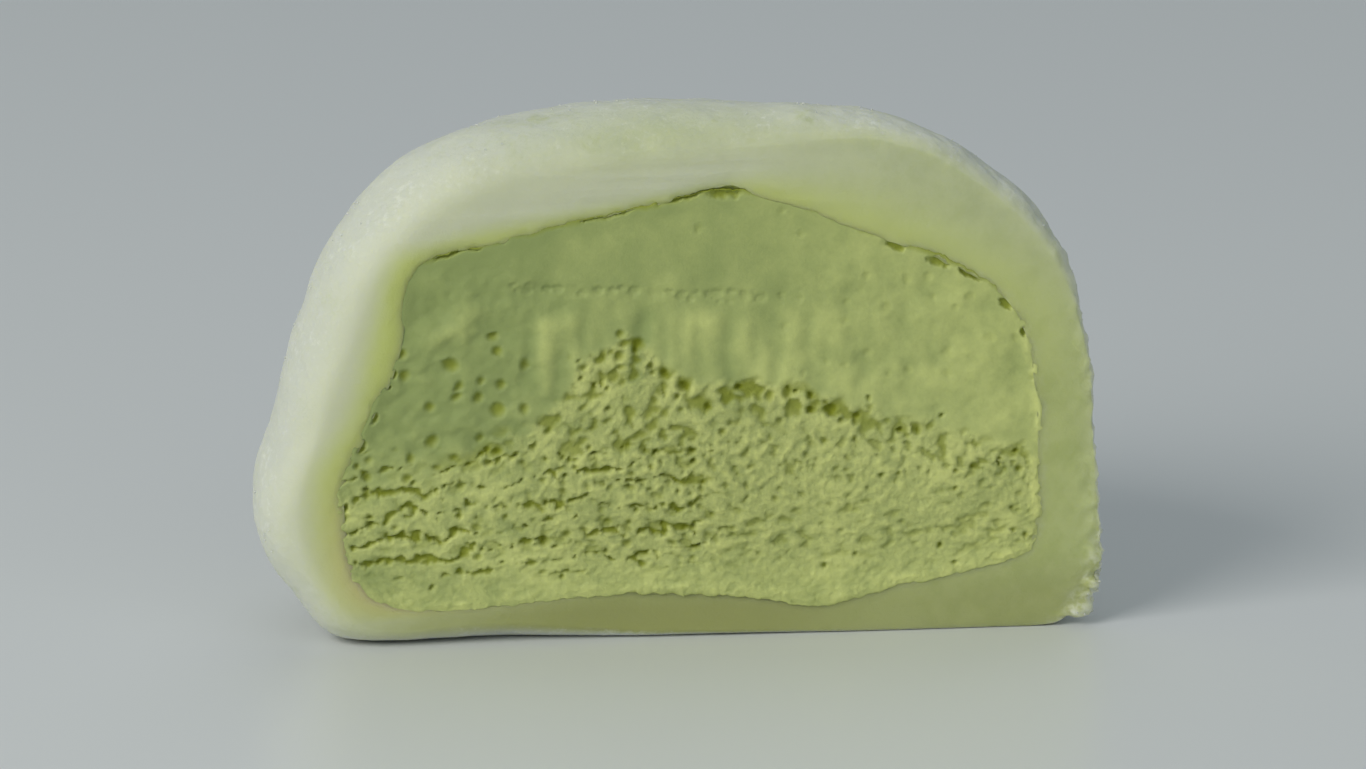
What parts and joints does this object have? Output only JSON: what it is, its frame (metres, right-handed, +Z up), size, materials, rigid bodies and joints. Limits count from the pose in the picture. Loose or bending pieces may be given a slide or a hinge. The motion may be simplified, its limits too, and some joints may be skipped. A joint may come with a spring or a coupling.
{
  "type": "half mochi rice cake",
  "caption": "Half of a mochi rice cake, sliced through to show its green tea ice cream filling, standing on its flat base with the cut face upright.",
  "frame": {"origin": "on the plate, under the middle of the half cake's box", "axes": "+Z up, the flat cut face looks towards -Y, +X to the right as the cut face is seen"},
  "size_m": [0.0462, 0.023, 0.0291],
  "materials": {
    "rice_dough": "soft satin with a dusting of starch",
    "green_tea_ice_cream": "matt, porous, frozen"
  },
  "bodies": {
    "root": {"rice_dough": "rice_dough", "ice_cream": "green_tea_ice_cream"}
  },
  "joints": []
}
